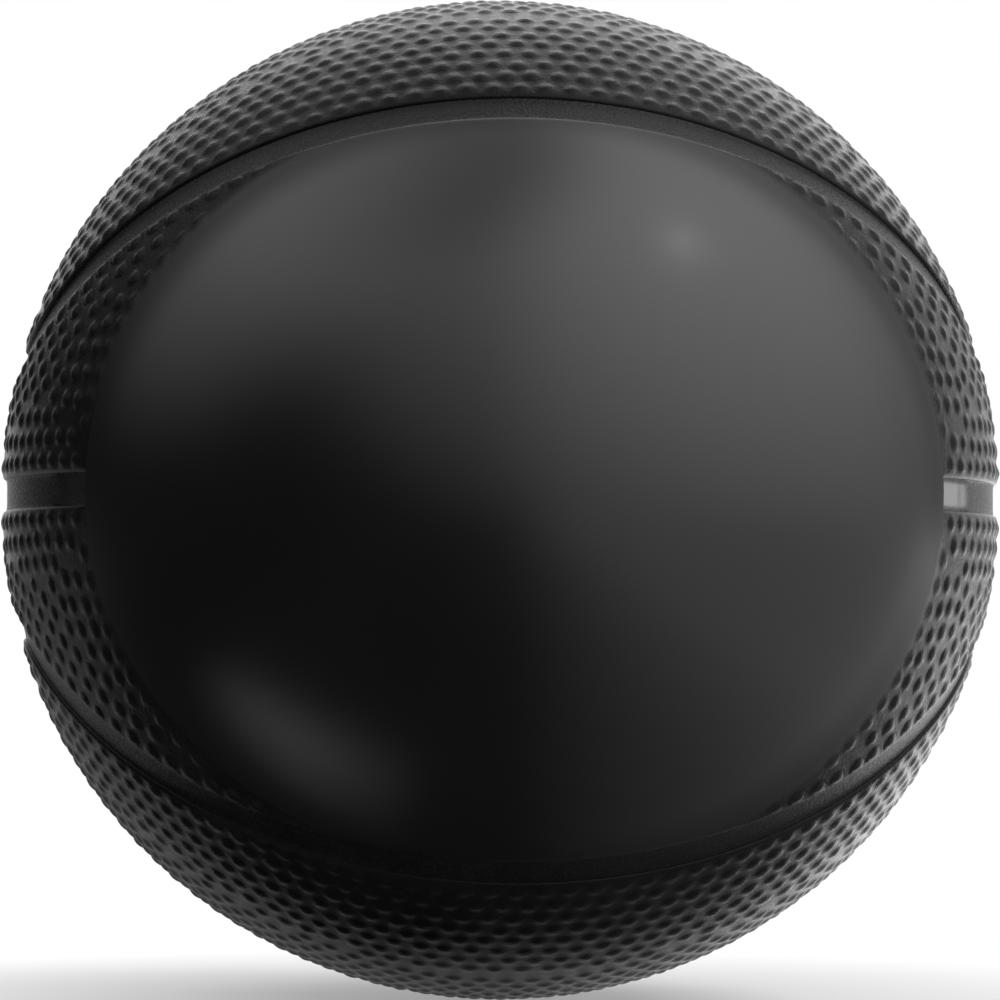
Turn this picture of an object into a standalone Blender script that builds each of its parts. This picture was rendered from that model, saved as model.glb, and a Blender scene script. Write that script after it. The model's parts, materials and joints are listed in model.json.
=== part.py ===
"""Mini basketball: butyl bladder and valve, nylon winding, carcass, seam strips and moulded cover panels.

The origin is the ball's centre, +Z is up and the smooth imprint panel faces -Y. Lengths are in metres.
"""

import math

import bmesh
import bpy
import numpy as np
from mathutils import Vector

# Driving dimensions of the ball and its seams
BALL_DIAMETER = 0.127  # over the pebble crests
PEBBLE_HEIGHT = 0.00035  # crest above the land between pebbles
CHANNEL_WIDTH = 0.0040  # panel wall to panel wall
CHANNEL_DEPTH = 0.00095  # pebble crest to channel floor
LIP_WIDTH = 0.0009  # rounding of a panel's edge, along the surface
LIP_DROP = 0.00045  # how far that rounding falls
LOOP_FRONT_ANGLE = math.radians(46.4)  # horizontal seam to a loop, at the front
LOOP_SIDE_ANGLE = math.radians(14.7)  # horizontal seam to a loop, at the sides
IMPRINT_SIDE_ANGLE = math.radians(55.0)  # front centre to the end of the smooth oval
IMPRINT_SHOULDER_ANGLE = math.radians(17.5)  # front centre to where the oval meets a loop

# Wall thicknesses and clearances
SEAM_THICKNESS = 0.00065  # rubber under a channel floor
CARCASS_THICKNESS = 0.0007
WINDING_THICKNESS = 0.0004
BLADDER_THICKNESS = 0.0008
BOND_GAP = 0.0002  # cover and seam strips to carcass, where a flat facet comes closest
LAYER_GAP = 0.0003  # between the inner layers, and round the valve and its plug
JOINT_GAP = 0.0003  # between neighbouring panels and strips

# Valve, turned about its own axis
VALVE_ANGLE = math.radians(14.0)  # above the horizontal seam, on the back
VALVE_RECESS = 0.0003  # valve face below the land
NEEDLE_HOLE_RADIUS = 0.0011
NECK_LENGTH = 0.0022  # needle hole, from the face down to the plug
MOUTH_CHAMFER = 0.0004
PLUG_RADIUS = 0.0021
BEAD_HEIGHT = 0.0005  # retaining bead of the plug, and its groove
BEAD_LENGTH = 0.0012
BEAD_INSET = 0.0020  # bead above the inner end of the boot
GUIDE_DEPTH = 0.0010  # cone in the plug that leads the needle
STEM_WALL = 0.0006  # stem round the plug
BOOT_WALL = 0.0014  # boot round the bead's groove
BOOT_LENGTH = 0.0085  # below the flange
FLANGE_WIDTH = 0.0050  # beyond the stem
FLANGE_THICKNESS = 0.0010

# Mesh fineness
FACET = 0.0085  # longest side of a panel's facet
TURNED_SIDES = 24
CURVE_SAMPLES = 1201
MOST_BEND = 9.0  # sharpest bend that closes grid lines up, against that of a great circle
MOST_LIP = 0.3  # most of a grid line that one lip may take
MERGE_DISTANCE = 1e-6
SHARP_ANGLE = math.radians(40)

# Colour and roughness of each finish
FINISHES = {
    "cover_rubber": ((0.016, 0.016, 0.018), 0.42),
    "imprint_rubber": ((0.018, 0.018, 0.020), 0.30),
    "seam_rubber": ((0.014, 0.014, 0.015), 0.35),
    "carcass_rubber": ((0.05, 0.045, 0.04), 0.70),
    "nylon_thread": ((0.75, 0.73, 0.68), 0.60),
    "butyl_rubber": ((0.03, 0.03, 0.032), 0.50),
    "valve_rubber": ((0.02, 0.02, 0.022), 0.50),
    "plug_rubber": ((0.12, 0.09, 0.06), 0.45),
}

# Radii of the layers, from the cover inwards
CREST = BALL_DIAMETER / 2
LAND = CREST - PEBBLE_HEIGHT
CHANNEL_FLOOR = CREST - CHANNEL_DEPTH
COVER_INNER = CHANNEL_FLOOR - SEAM_THICKNESS
FACET_SAG = FACET**2 / (4 * COVER_INNER)  # middle of a square facet below its corners
CARCASS_OUTER = COVER_INNER - FACET_SAG - BOND_GAP
CARCASS_INNER = CARCASS_OUTER - CARCASS_THICKNESS
WINDING_OUTER = CARCASS_INNER - LAYER_GAP
WINDING_INNER = WINDING_OUTER - WINDING_THICKNESS
BLADDER_OUTER = WINDING_INNER - LAYER_GAP
BLADDER_INNER = BLADDER_OUTER - BLADDER_THICKNESS

# Radii of the valve
BORE_RADIUS = PLUG_RADIUS + LAYER_GAP
GROOVE_RADIUS = BORE_RADIUS + BEAD_HEIGHT
STEM_RADIUS = BORE_RADIUS + STEM_WALL
BOOT_RADIUS = GROOVE_RADIUS + BOOT_WALL
FLANGE_RADIUS = STEM_RADIUS + FLANGE_WIDTH
STEM_HOLE_RADIUS = STEM_RADIUS + LAYER_GAP

# Half widths as angles at the ball's centre
HALF_CHANNEL = CHANNEL_WIDTH / 2 / CREST
HALF_STRIP = HALF_CHANNEL - JOINT_GAP / CREST
BUTT = HALF_STRIP + JOINT_GAP / CREST  # a strip's end, from the middle of the seam it meets


def unit(points):
    points = np.asarray(points, float)
    return points / np.linalg.norm(points, axis=-1, keepdims=True)


def arc_length(curve):
    steps = np.linalg.norm(np.diff(curve, axis=0), axis=1)
    return np.concatenate([[0.0], np.cumsum(steps)])


def along(curve, share):
    """Points at the given shares of a curve's length, back on the unit sphere."""
    length = arc_length(curve)
    place = np.asarray(share) * length[-1]
    return unit(np.stack([np.interp(place, length, curve[:, k]) for k in range(3)], axis=-1))


def loop_curve(offset=0.0, start=0.0, end=2 * math.pi):
    """The upper loop: an elliptic cone about +Z meets the ball. A positive offset moves it off the pole."""
    t = np.linspace(start, end, CURVE_SAMPLES)
    wide = 1 / math.tan(LOOP_SIDE_ANGLE)
    deep = 1 / math.tan(LOOP_FRONT_ANGLE)
    middle = unit(np.stack([wide * np.cos(t), -deep * np.sin(t), np.ones_like(t)], axis=-1))
    run = np.stack([-wide * np.sin(t), -deep * np.cos(t), np.zeros_like(t)], axis=-1)
    aside = unit(np.cross(run, middle))
    outward = aside * np.where(aside[:, 2:] < 0, 1, -1)
    return middle * math.cos(offset) + outward * math.sin(offset)


def front_loop_edge(offset):
    """The front half of a loop's edge, from +X to -X, ended at the walls of the vertical seam's channel."""
    curve = loop_curve(offset, 0.0, math.pi)
    wall = -math.sin(HALF_CHANNEL)
    inside = np.flatnonzero(curve[:, 1] < wall)
    first, last = inside[0], inside[-1]
    ends = []
    for a, b in ((first - 1, first), (last + 1, last)):
        share = (wall - curve[a, 1]) / (curve[b, 1] - curve[a, 1])
        ends.append(curve[a] + share * (curve[b] - curve[a]))
    return unit(np.vstack([ends[0], curve[first : last + 1], ends[1]]))


def vertical_seam(start, end):
    """Points of the seam in the plane y = 0, by angle from +X towards +Z."""
    a = np.linspace(start, end, CURVE_SAMPLES)
    return np.stack([np.cos(a), np.zeros_like(a), np.sin(a)], axis=-1)


def horizontal_seam(start, end):
    """Points of the seam in the plane z = 0, by angle from -Y towards +X."""
    a = np.linspace(start, end, CURVE_SAMPLES)
    return np.stack([np.sin(a), -np.cos(a), np.zeros_like(a)], axis=-1)


def spaced(curve, multiple=1):
    """Shares of a curve's length for grid lines, closer where it bends so that every chord strays alike."""
    length = arc_length(curve)
    run = unit(np.diff(curve, axis=0))
    middles = (length[1:] + length[:-1]) / 2
    bend = np.linalg.norm(np.diff(run, axis=0), axis=1) / np.diff(middles)
    density = np.sqrt(np.clip(np.interp(length, length[1:-1], bend), 1, MOST_BEND)) * CREST / FACET
    total = np.concatenate([[0.0], np.cumsum((density[1:] + density[:-1]) / 2 * np.diff(length))])
    count = multiple * max(2, math.ceil(total[-1] / multiple))
    return np.interp(np.linspace(0, total[-1], count + 1), total, length) / length[-1]


def shares(length, steps=None, lip_start=True, lip_end=True):
    """Shares of a length at which grid lines lie: one at the edge of each lip, by the given steps between."""
    if steps is None:
        steps = np.linspace(0, 1, max(2, math.ceil(float(np.max(length)) * CREST / FACET)) + 1)
    lip = np.minimum(LIP_WIDTH / CREST, MOST_LIP * length)
    low = lip * lip_start
    high = lip * lip_end
    lines = [low + (length - low - high) * step for step in steps]
    if lip_start:
        lines = [0.0 * lip, *lines]
    if lip_end:
        lines = [*lines, length]
    safe = np.where(length > 0, length, 1.0)
    return np.stack([line / safe for line in lines], axis=-1)


def channel_distance(directions, has_horizontal=True):
    """How far each direction lies from the nearest channel wall, measured along the ball."""
    middle = loop_curve()
    folded = directions * np.where(directions[..., 2:] < 0, [1, 1, -1], [1, 1, 1])
    to_loop = np.arccos(np.clip((folded @ middle.T).max(axis=-1), -1, 1))
    nearest = np.minimum(to_loop, np.arcsin(np.clip(np.abs(directions[..., 1]), 0, 1)))
    if has_horizontal:
        nearest = np.minimum(nearest, np.arcsin(np.clip(np.abs(directions[..., 2]), 0, 1)))
    return np.maximum(nearest - HALF_CHANNEL, 0) * CREST


def rounded(top, directions, has_horizontal=True):
    """Outer radius of a panel: level, with a quarter round falling to the channels."""
    near = np.minimum(channel_distance(directions, has_horizontal) / LIP_WIDTH, 1)
    return top - LIP_DROP * (1 - np.sqrt(np.clip(1 - (1 - near) ** 2, 0, 1)))


def paint(obj, finish):
    colour, roughness = FINISHES[finish]
    material = bpy.data.materials.get(finish) or bpy.data.materials.new(finish)
    material.use_nodes = True
    shader = material.node_tree.nodes["Principled BSDF"]
    shader.inputs["Base Color"].default_value = (*colour, 1)
    shader.inputs["Roughness"].default_value = roughness
    shader.inputs["Metallic"].default_value = 0.0
    obj.data.materials.append(material)


def add_object(name, bm, parent):
    """Makes an object of a mesh, its facets split the short way so that left and right halves mirror."""
    bmesh.ops.remove_doubles(bm, verts=bm.verts[:], dist=MERGE_DISTANCE)
    bmesh.ops.recalc_face_normals(bm, faces=bm.faces[:])
    bmesh.ops.triangulate(bm, faces=bm.faces[:], quad_method="SHORT_EDGE")
    mesh = bpy.data.meshes.new(name)
    bm.to_mesh(mesh)
    bm.free()
    mesh.shade_smooth()
    mesh.set_sharp_from_angle(angle=SHARP_ANGLE)
    obj = bpy.data.objects.new(name, mesh)
    bpy.context.scene.collection.objects.link(obj)
    obj.parent = parent
    return obj


def curved_plate(name, directions, outer, inner, parent, ring=False):
    """A plate on the ball: a grid of directions carried out to its two radii and walled round its rim."""
    rows, columns = directions.shape[:2]
    outer = np.broadcast_to(np.asarray(outer, float), (rows, columns))
    skin = [directions * outer[..., None], directions * inner]
    bm = bmesh.new()
    top, bottom = [[[bm.verts.new(p) for p in row] for row in layer] for layer in skin]
    for i in range(rows if ring else rows - 1):
        k = (i + 1) % rows
        for j in range(columns - 1):
            bm.faces.new((top[i][j], top[k][j], top[k][j + 1], top[i][j + 1]))
            bm.faces.new((bottom[i][j + 1], bottom[k][j + 1], bottom[k][j], bottom[i][j]))
        for j in (0, columns - 1):
            bm.faces.new((top[i][j], bottom[i][j], bottom[k][j], top[k][j]))
    for i in () if ring else (0, rows - 1):
        for j in range(columns - 1):
            bm.faces.new((top[i][j], top[i][j + 1], bottom[i][j + 1], bottom[i][j]))
    return add_object(name, bm, parent)


def turned(name, profile, parent):
    """A closed profile of (distance from the axis, height) pairs, turned about local Z."""
    bm = bmesh.new()
    ring = [bm.verts.new((radius, 0, height)) for radius, height in profile]
    edges = [bm.edges.new((a, b)) for a, b in zip(ring, ring[1:] + ring[:1])]
    bmesh.ops.spin(
        bm,
        geom=ring + edges,
        cent=(0, 0, 0),
        axis=(0, 0, 1),
        angle=2 * math.pi,
        steps=TURNED_SIDES,
        use_merge=True,
    )
    return add_object(name, bm, parent)


def mirrored(directions, signs):
    return directions * np.asarray(signs, float)


def cap_directions():
    """Upper front cap: columns through the Y axis run from the vertical seam to the loop."""
    edge = front_loop_edge(-HALF_CHANNEL)
    rim = along(edge, spaced(edge))
    turn = np.arctan2(rim[:, 2], rim[:, 0])
    reach = np.maximum(np.arcsin(-rim[:, 1]) - HALF_CHANNEL, 0)
    tilt = HALF_CHANNEL + reach[:, None] * shares(reach)
    turn = turn[:, None]
    return np.stack([np.cos(tilt) * np.cos(turn), -np.sin(tilt), np.cos(tilt) * np.sin(turn)], axis=-1)


def belt_directions():
    """Upper front belt from side to side: columns rise from the horizontal seam to the loop."""
    edge = front_loop_edge(HALF_CHANNEL)
    rim = along(edge, shares(arc_length(edge)[-1:], spaced(edge))[0])
    head = np.arctan2(rim[:, 0], -rim[:, 1])
    corner = math.acos(math.tan(HALF_CHANNEL))
    foot = head * corner / head[0]
    height = np.arcsin(rim[:, 2]) - HALF_CHANNEL
    share = shares(height)
    lift = HALF_CHANNEL + height[:, None] * share
    turn = foot[:, None] + (head - foot)[:, None] * share
    return np.stack([np.cos(lift) * np.sin(turn), -np.cos(lift) * np.cos(turn), np.sin(lift)], axis=-1)


def oval_axes(margin):
    """Half width and half height of the imprint oval as seen from the front, grown by a margin."""
    shoulder = math.sin(IMPRINT_SHOULDER_ANGLE)
    half_width = math.sin(IMPRINT_SIDE_ANGLE)
    edge = front_loop_edge(HALF_CHANNEL)[::-1]
    meets = np.interp(shoulder, edge[:, 0], edge[:, 2])
    half_height = meets / math.sqrt(1 - (shoulder / half_width) ** 2)
    return half_width + margin, half_height + margin


def oval_point(half_width, half_height, angle):
    x = half_width * np.cos(angle)
    z = half_height * np.sin(angle)
    return np.stack([x, -np.sqrt(1 - x**2 - z**2), z], axis=-1)


def shoulder_of(half_width, half_height):
    """Where the oval meets the upper loop's edge: the edge's index and the oval's own angle."""
    edge = front_loop_edge(HALF_CHANNEL)
    outside = (edge[:, 0] / half_width) ** 2 + (edge[:, 2] / half_height) ** 2 > 1
    index = int(np.flatnonzero(outside & (edge[:, 0] > 0))[-1])
    angle = math.atan2(edge[index, 2] / half_height, edge[index, 0] / half_width)
    return index, angle


def belt_end_directions():
    """Right upper end of the front belt, a four-sided patch between two seams, a loop and the oval."""
    half_width, half_height = oval_axes(JOINT_GAP / 2 / CREST)
    index, angle = shoulder_of(half_width, half_height)
    high = front_loop_edge(HALF_CHANNEL)[: index + 1]
    right = oval_point(
        half_width,
        half_height,
        np.linspace(math.asin(math.sin(HALF_CHANNEL) / half_height), angle, CURVE_SAMPLES),
    )
    right[-1] = high[-1]
    corner = math.acos(math.tan(HALF_CHANNEL))
    turn = np.linspace(corner, math.atan2(right[0, 0], -right[0, 1]), CURVE_SAMPLES)
    low = np.stack(
        [
            math.cos(HALF_CHANNEL) * np.sin(turn),
            -math.cos(HALF_CHANNEL) * np.cos(turn),
            np.full_like(turn, math.sin(HALF_CHANNEL)),
        ],
        axis=-1,
    )
    rise = np.linspace(
        math.atan2(low[0, 2], low[0, 0]), math.atan2(high[0, 2], high[0, 0]), CURVE_SAMPLES
    )
    left = np.stack(
        [
            math.cos(HALF_CHANNEL) * np.cos(rise),
            np.full_like(rise, -math.sin(HALF_CHANNEL)),
            math.cos(HALF_CHANNEL) * np.sin(rise),
        ],
        axis=-1,
    )
    across = shares(arc_length(high)[-1:], spaced(high), lip_end=False)[0]
    height = (1 - across) * arc_length(left)[-1] + across * arc_length(right)[-1]
    up = shares(height)
    across = np.broadcast_to(across[:, None], up.shape)
    s, t = across[..., None], up[..., None]
    corners = (1 - s) * (1 - t) * low[0] + s * (1 - t) * low[-1] + (1 - s) * t * high[0] + s * t * high[-1]
    edges_low_high = (1 - t) * along(low, across) + t * along(high, across)
    edges_left_right = (1 - s) * along(left, up) + s * along(right, up)
    return unit(edges_low_high + edges_left_right - corners)


def imprint_directions():
    """Smooth front oval, cut off by the two loops: columns of constant x run from bottom to top."""
    half_width, half_height = oval_axes(-JOINT_GAP / 2 / CREST)
    index, angle = shoulder_of(half_width, half_height)
    crown = front_loop_edge(HALF_CHANNEL)[index:]
    crown = crown[crown[:, 0] > -crown[0, 0]]
    side = oval_point(half_width, half_height, np.linspace(0, angle, CURVE_SAMPLES))
    outline = np.vstack([side[:-1], crown, mirrored(side[-2::-1], (-1, 1, 1))])
    rim = along(outline, spaced(outline))
    radius = np.hypot(rim[:, 1], rim[:, 2])[:, None]
    reach = np.arctan2(np.abs(rim[:, 2]), -rim[:, 1])
    reach[[0, -1]] = 0
    lift = reach[:, None] * (2 * shares(2 * reach) - 1)
    x = np.broadcast_to(rim[:, :1], lift.shape)
    return np.stack([x, -radius * np.cos(lift), radius * np.sin(lift)], axis=-1)


def strip_directions(curve, ring=False):
    """A band of even width along a seam."""
    place = spaced(curve, multiple=4)[:-1] if ring else spaced(curve)
    middle = along(curve, place)
    step = 1 / CURVE_SAMPLES
    if ring:
        run = along(curve, (place + step) % 1) - along(curve, (place - step) % 1)
    else:
        run = along(curve, np.minimum(place + step, 1)) - along(curve, np.maximum(place - step, 0))
    aside = unit(np.cross(middle, run))
    reach = HALF_STRIP * np.array([-1.0, 1.0])[:, None, None]
    return np.swapaxes(middle * np.cos(reach) + aside * np.sin(reach), 0, 1)


def arc_profile(radius):
    """(distance, height) pairs of a layer, from its valve hole over the valve's flange to the far side."""
    hole = math.asin(STEM_HOLE_RADIUS / radius)
    flange = math.asin((FLANGE_RADIUS + LAYER_GAP) / radius)
    angles = [hole, *np.linspace(flange, math.pi, TURNED_SIDES // 2)[:-1]]
    return [(radius * math.sin(a), radius * math.cos(a)) for a in angles] + [(0.0, -radius)]


def layer_shell(name, outer, inner, parent):
    """A hollow ball, open where the valve's stem passes through it."""
    return turned(name, arc_profile(outer) + arc_profile(inner)[::-1], parent)


def sphere_height(radius, distance):
    return math.sqrt(radius**2 - distance**2)


def build_cover(ball):
    caps = cap_directions()
    belts = belt_directions()
    ends = belt_end_directions()
    for level, z in (("upper", 1), ("lower", -1)):
        for face, y in (("front", 1), ("back", -1)):
            grid = mirrored(caps, (1, y, z))
            cap = curved_plate(f"{level}_cap_{face}", grid, rounded(CREST, grid), COVER_INNER, ball)
            paint(cap, "cover_rubber")
        grid = mirrored(belts, (1, -1, z))
        belt = curved_plate(f"{level}_belt_back", grid, rounded(CREST, grid), COVER_INNER, ball)
        paint(belt, "cover_rubber")
        for side, x in (("right", 1), ("left", -1)):
            grid = mirrored(ends, (x, 1, z))
            end = curved_plate(f"{level}_belt_front_{side}", grid, rounded(CREST, grid), COVER_INNER, ball)
            paint(end, "cover_rubber")
    grid = imprint_directions()
    imprint = curved_plate("imprint_panel", grid, rounded(LAND, grid, False), COVER_INNER, ball)
    paint(imprint, "imprint_rubber")


def build_seams(ball):
    crown_start = LOOP_SIDE_ANGLE + BUTT
    side_end = LOOP_SIDE_ANGLE - BUTT
    quarter = math.pi / 2
    imprint_end = math.asin(oval_axes(0.0)[0]) + JOINT_GAP / CREST
    runs = {
        "crown_seam_upper": vertical_seam(crown_start, math.pi - crown_start),
        "crown_seam_lower": vertical_seam(-math.pi + crown_start, -crown_start),
        "side_seam_right": vertical_seam(-side_end, side_end),
        "side_seam_left": vertical_seam(math.pi - side_end, math.pi + side_end),
        "belt_seam_back": horizontal_seam(quarter + BUTT, 3 * quarter - BUTT),
        "belt_seam_front_right": horizontal_seam(imprint_end, quarter - BUTT),
        "belt_seam_front_left": horizontal_seam(-quarter + BUTT, -imprint_end),
    }
    strips = [
        curved_plate(name, strip_directions(curve), CHANNEL_FLOOR, COVER_INNER, ball)
        for name, curve in runs.items()
    ]
    for level, z in (("upper", 1), ("lower", -1)):
        grid = mirrored(strip_directions(loop_curve(), ring=True), (1, 1, z))
        strips.append(curved_plate(f"loop_seam_{level}", grid, CHANNEL_FLOOR, COVER_INNER, ball, ring=True))
    for strip in strips:
        paint(strip, "seam_rubber")


def build_layers(valve):
    carcass = layer_shell("carcass", CARCASS_OUTER, CARCASS_INNER, valve)
    paint(carcass, "carcass_rubber")
    winding = layer_shell("nylon_winding", WINDING_OUTER, WINDING_INNER, valve)
    paint(winding, "nylon_thread")
    bladder = layer_shell("bladder", BLADDER_OUTER, BLADDER_INNER, valve)
    paint(bladder, "butyl_rubber")


def build_valve(valve):
    face = LAND - VALVE_RECESS
    flange_top = BLADDER_INNER - LAYER_GAP
    flange_rim = sphere_height(flange_top, FLANGE_RADIUS)
    boot_top = flange_rim - FLANGE_THICKNESS
    boot_end = boot_top - BOOT_LENGTH
    plug_top = face - NECK_LENGTH
    bead_low = boot_end + BEAD_INSET
    bead_high = bead_low + BEAD_LENGTH
    half_flange = (STEM_RADIUS + FLANGE_RADIUS) / 2
    body = turned(
        "valve_body",
        [
            (NEEDLE_HOLE_RADIUS + MOUTH_CHAMFER, face),
            (STEM_RADIUS - MOUTH_CHAMFER, face),
            (STEM_RADIUS, face - MOUTH_CHAMFER),
            (STEM_RADIUS, sphere_height(flange_top, STEM_RADIUS)),
            (half_flange, sphere_height(flange_top, half_flange)),
            (FLANGE_RADIUS, flange_rim),
            (FLANGE_RADIUS, boot_top + FLANGE_THICKNESS / 2),
            (BOOT_RADIUS, boot_top),
            (BOOT_RADIUS, boot_end + MOUTH_CHAMFER),
            (BOOT_RADIUS - MOUTH_CHAMFER, boot_end),
            (BORE_RADIUS, boot_end),
            (BORE_RADIUS, bead_low - LAYER_GAP),
            (GROOVE_RADIUS, bead_low),
            (GROOVE_RADIUS, bead_high),
            (BORE_RADIUS, bead_high + LAYER_GAP),
            (BORE_RADIUS, plug_top),
            (NEEDLE_HOLE_RADIUS, plug_top),
            (NEEDLE_HOLE_RADIUS, face - MOUTH_CHAMFER),
        ],
        valve,
    )
    paint(body, "valve_rubber")
    plug = turned(
        "valve_plug",
        [
            (0.0, plug_top - LAYER_GAP - GUIDE_DEPTH),
            (NEEDLE_HOLE_RADIUS, plug_top - LAYER_GAP),
            (PLUG_RADIUS, plug_top - LAYER_GAP),
            (PLUG_RADIUS, bead_high),
            (PLUG_RADIUS + BEAD_HEIGHT, bead_high - LAYER_GAP),
            (PLUG_RADIUS + BEAD_HEIGHT, bead_low + LAYER_GAP),
            (PLUG_RADIUS, bead_low),
            (PLUG_RADIUS, boot_end + MOUTH_CHAMFER),
            (PLUG_RADIUS - MOUTH_CHAMFER, boot_end),
            (0.0, boot_end),
        ],
        valve,
    )
    paint(plug, "plug_rubber")


def cut_valve_hole(valve):
    """Opens the cover over the valve: a round hole with a chamfered rim."""
    rim = LAND - MOUTH_CHAMFER
    past = CREST - COVER_INNER
    cutter = turned(
        "valve_hole_cutter",
        [
            (0.0, CREST + past),
            (STEM_HOLE_RADIUS + CREST + past - rim, CREST + past),
            (STEM_HOLE_RADIUS, rim),
            (STEM_HOLE_RADIUS, COVER_INNER - past),
            (0.0, COVER_INNER - past),
        ],
        valve,
    )
    cutter.hide_render = True
    cutter.display_type = "WIRE"
    cut = bpy.data.objects["upper_belt_back"].modifiers.new("valve_hole", "BOOLEAN")
    cut.operation = "DIFFERENCE"
    cut.solver = "EXACT"
    cut.object = cutter


def main():
    for obj in list(bpy.data.objects):
        bpy.data.objects.remove(obj, do_unlink=True)
    ball = bpy.data.objects.new("ball_centre", None)
    valve = bpy.data.objects.new("valve_axis", None)
    for empty in (ball, valve):
        bpy.context.scene.collection.objects.link(empty)
    valve.parent = ball
    valve.rotation_mode = "QUATERNION"
    axis = Vector((0, math.cos(VALVE_ANGLE), math.sin(VALVE_ANGLE)))
    valve.rotation_quaternion = Vector((0, 0, 1)).rotation_difference(axis)
    build_cover(ball)
    build_seams(ball)
    build_layers(valve)
    build_valve(valve)
    cut_valve_hole(valve)


main()
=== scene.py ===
import json
import math

import bmesh
import bpy
import numpy as np
from mathutils import Matrix, Vector


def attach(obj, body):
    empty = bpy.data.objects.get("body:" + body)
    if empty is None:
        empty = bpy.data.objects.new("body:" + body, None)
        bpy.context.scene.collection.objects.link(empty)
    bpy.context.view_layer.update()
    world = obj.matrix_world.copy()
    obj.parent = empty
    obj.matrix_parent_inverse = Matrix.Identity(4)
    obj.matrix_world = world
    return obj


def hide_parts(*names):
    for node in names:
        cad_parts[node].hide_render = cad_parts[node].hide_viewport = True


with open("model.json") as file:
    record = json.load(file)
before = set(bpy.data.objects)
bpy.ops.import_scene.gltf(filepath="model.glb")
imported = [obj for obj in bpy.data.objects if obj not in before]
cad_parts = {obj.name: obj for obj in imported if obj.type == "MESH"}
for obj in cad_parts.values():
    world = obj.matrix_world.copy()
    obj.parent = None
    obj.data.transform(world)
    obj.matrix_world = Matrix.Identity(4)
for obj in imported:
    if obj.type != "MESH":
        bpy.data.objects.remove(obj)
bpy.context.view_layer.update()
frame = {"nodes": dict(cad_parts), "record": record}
print("frame loaded,", len(frame["nodes"]), "nodes")


def vertexPoints(mesh):
    # a mesh's vertices as rows of x, y and z
    points = np.empty(len(mesh.vertices) * 3, np.float32)
    mesh.vertices.foreach_get("co", points)
    return points.reshape(-1, 3).astype(float)


def nodeRadii(name):
    # distance of a node's nearest and farthest vertex from the ball's centre
    radii = np.linalg.norm(vertexPoints(frame["nodes"][name].data), axis=1)
    return radii.min(), radii.max()


crest = nodeRadii("upper_cap_front")[1]  # tops of the pebbles
coverInner, land = nodeRadii("imprint_panel")  # back of the cover, and its smooth skin
channelFloor = nodeRadii("loop_seam_upper")[1]
valveMount = next(m for m in frame["record"]["mounts"] if m["name"] == "valve_face")
valveAxis = np.array(valveMount["axis"])

# angles are seen from the ball's centre
seams = {
    "loopFront": math.radians(46.4),  # horizontal seam to a loop, at the front
    "loopSide": math.radians(14.7),  # and at the sides
    "half": 0.0020 / crest,  # half a channel's width
    "imprintSide": math.radians(55.0),  # front centre to the end of the smooth oval
    "imprintShoulder": math.radians(17.5),  # front centre to where the oval meets a loop
    "samples": 1201,
}
# rounded edge of a panel, at most that share of a narrow one
lips = {"width": 0.00070, "drop": 0.00042, "most": 0.3, "lines": 6}
# mesh cells, and how many of the outside go to one of the back
cells = {"front": 0.00029, "back": 0.00037, "end": 0.00030, "imprint": 0.00055, "strip": 0.00045, "thin": 6}
tip = {"gap": 0.00025, "share": 0.01}  # width at which a pointed panel ends, judged at that share
half = seams["half"]
mirrorX = np.array([-1.0, 1.0, 1.0])
mirrorZ = np.array([1.0, 1.0, -1.0])


def unit(points):
    # each vector over its own length
    return points / np.linalg.norm(points, axis=-1, keepdims=True)


def angleOf(cosine):
    # angle of a cosine that rounding may have put just past 1
    return np.arccos(np.clip(cosine, -1, 1))


def leanOf(sine):
    # size of the angle of a sine that rounding may have put just past 1
    return np.arcsin(np.clip(np.abs(sine), 0, 1))


def smoothStep(value, low, high):
    # 0 below low, 1 above high, and 3t2 - 2t3 between
    t = np.clip((value - low) / (high - low), 0, 1)
    return t * t * (3 - 2 * t)


def curveLength(curve):
    # running sum of the chords
    return np.concatenate([[0.0], np.cumsum(np.linalg.norm(np.diff(curve, axis=0), axis=1))])


def along(curve, share):
    # points at shares of a curve's length, straight between samples, put back on the unit ball
    length = curveLength(curve)
    place = share * length[-1]
    return unit(np.stack([np.interp(place, length, curve[:, k]) for k in range(3)], -1))


def loopFrame(start, end):
    # upper loop: an elliptic cone about +Z cuts the ball; with it the direction away from the pole
    t = np.linspace(start, end, seams["samples"])
    wide = 1 / math.tan(seams["loopSide"])
    deep = 1 / math.tan(seams["loopFront"])
    middle = unit(np.stack([wide * np.cos(t), -deep * np.sin(t), np.ones_like(t)], -1))
    run = np.stack([-wide * np.sin(t), -deep * np.cos(t), np.zeros_like(t)], -1)
    aside = unit(np.cross(run, middle))
    return middle, aside * np.where(aside[:, 2:] < 0, 1, -1)


def loopEdge(offset):
    # front half of a loop's edge from +X to -X, cut where it meets the walls of the vertical channel
    middle, away = loopFrame(0, math.pi)
    curve = middle * math.cos(offset) + away * math.sin(offset)
    wall = -math.sin(half)
    first, last = np.flatnonzero(curve[:, 1] < wall)[[0, -1]]

    def crossing(before, after):
        # point on the wall between two samples
        share = (wall - curve[before, 1]) / (curve[after, 1] - curve[before, 1])
        return curve[before] + share * (curve[after] - curve[before])

    return unit(np.vstack([crossing(first - 1, first), curve[first : last + 1], crossing(last + 1, last)]))


def seamDirection(axes, turn, side):
    # point at an angle along a straight seam and at an angle to its side
    one, two, across = (np.array(a, float) for a in axes)
    turn, side = np.broadcast_arrays(turn, side)
    ring = np.cos(turn)[..., None] * one + np.sin(turn)[..., None] * two
    return np.cos(side)[..., None] * ring + np.sin(side)[..., None] * across


verticalAxes = ((1, 0, 0), (0, 0, 1), (0, 1, 0))  # from +X towards +Z, side towards the back
horizontalAxes = ((0, -1, 0), (1, 0, 0), (0, 0, 1))  # from the front towards +X, side upwards


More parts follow.
